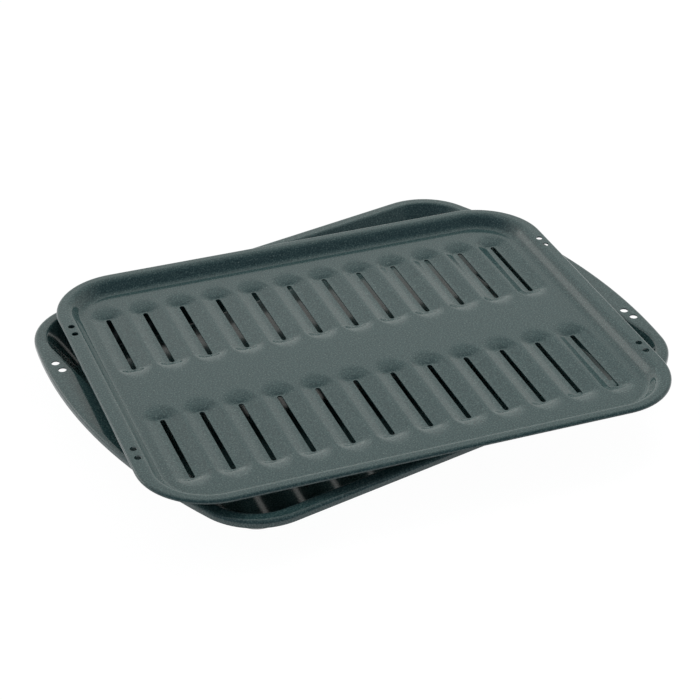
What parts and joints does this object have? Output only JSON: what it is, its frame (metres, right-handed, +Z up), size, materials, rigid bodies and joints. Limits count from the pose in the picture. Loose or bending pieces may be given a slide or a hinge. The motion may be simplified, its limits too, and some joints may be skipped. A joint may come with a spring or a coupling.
{
  "type": "broiler pan",
  "caption": "Shallow enamelled steel drip pan with a slotted grill insert resting on its rim, turned a little across it.",
  "frame": {"origin": "middle of the underside of the drip pan's floor, where the pan stands", "axes": "+Z up; +X along the pan's long sides; -Y to the front"},
  "size_m": [0.4354, 0.3704, 0.043],
  "materials": {
    "enamel": "glossy slate porcelain enamel with fine pale speckle"
  },
  "bodies": {
    "root": {"drip_pan": "enamel", "grill_insert": "enamel"}
  },
  "joints": []
}
